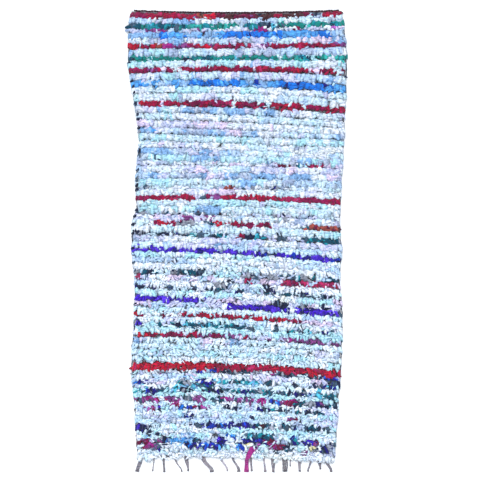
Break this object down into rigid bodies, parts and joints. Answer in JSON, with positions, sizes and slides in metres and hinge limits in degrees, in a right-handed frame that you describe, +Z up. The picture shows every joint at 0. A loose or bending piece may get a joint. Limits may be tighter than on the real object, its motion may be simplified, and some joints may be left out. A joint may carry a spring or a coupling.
{
  "type": "boucherouite rug",
  "caption": "Long narrow rag rug lying flat, with thick knotted rag pile in uneven rows and a fringe of warp ends at one end.",
  "frame": {"origin": "on the floor, under the middle of the whole rug with its fringe", "axes": "+Z up from the floor, +Y along the rug towards its plain end, the fringe at -Y"},
  "size_m": [1.09, 2.29, 0.0281],
  "materials": {
    "rag_pile": "matt strips of cotton and synthetic rag",
    "warp_yarn": "matt twisted yarn"
  },
  "bodies": {
    "root": {"rug_pile": "rag_pile", "warp_fringe": "warp_yarn"}
  },
  "joints": []
}
